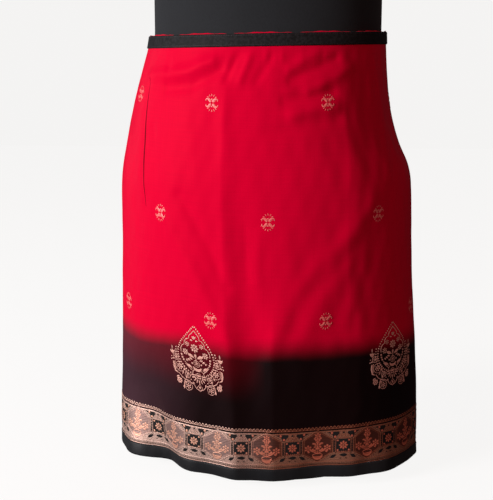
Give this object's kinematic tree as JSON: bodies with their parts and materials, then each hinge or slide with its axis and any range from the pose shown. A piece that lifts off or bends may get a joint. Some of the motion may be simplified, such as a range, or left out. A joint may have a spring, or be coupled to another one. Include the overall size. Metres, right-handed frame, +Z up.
{
  "type": "wrap skirt on a display form",
  "caption": "Knee-length silk wrap skirt with a narrow waistband, a woven border and a bound hem, worn by a plain limbless skirt form on a short pole and an oval base plate.",
  "frame": {"origin": "on the floor at the middle of the base plate's underside", "axes": "+Z up along the pole, -Y towards the skirt's front, +X towards the viewer's right when facing the front"},
  "size_m": [0.4067, 0.2562, 0.658],
  "materials": {
    "silk": "red art silk dyed to black towards the hem, with copper zari motifs and border",
    "band_cotton": "black cotton bias strip, matt, edge stitched",
    "hem_cotton": "black silk hem binding, soft sheen",
    "button_resin": "polished black resin",
    "form_jersey": "black cotton jersey cover, matt",
    "painted_steel": "satin black powder coat"
  },
  "bodies": {
    "root": {"skirt_panel": "silk", "waistband": "band_cotton", "hem_binding": "hem_cotton", "waist_button": "button_resin", "form_body": "form_jersey", "form_pole": "painted_steel", "form_base": "painted_steel"}
  },
  "joints": []
}
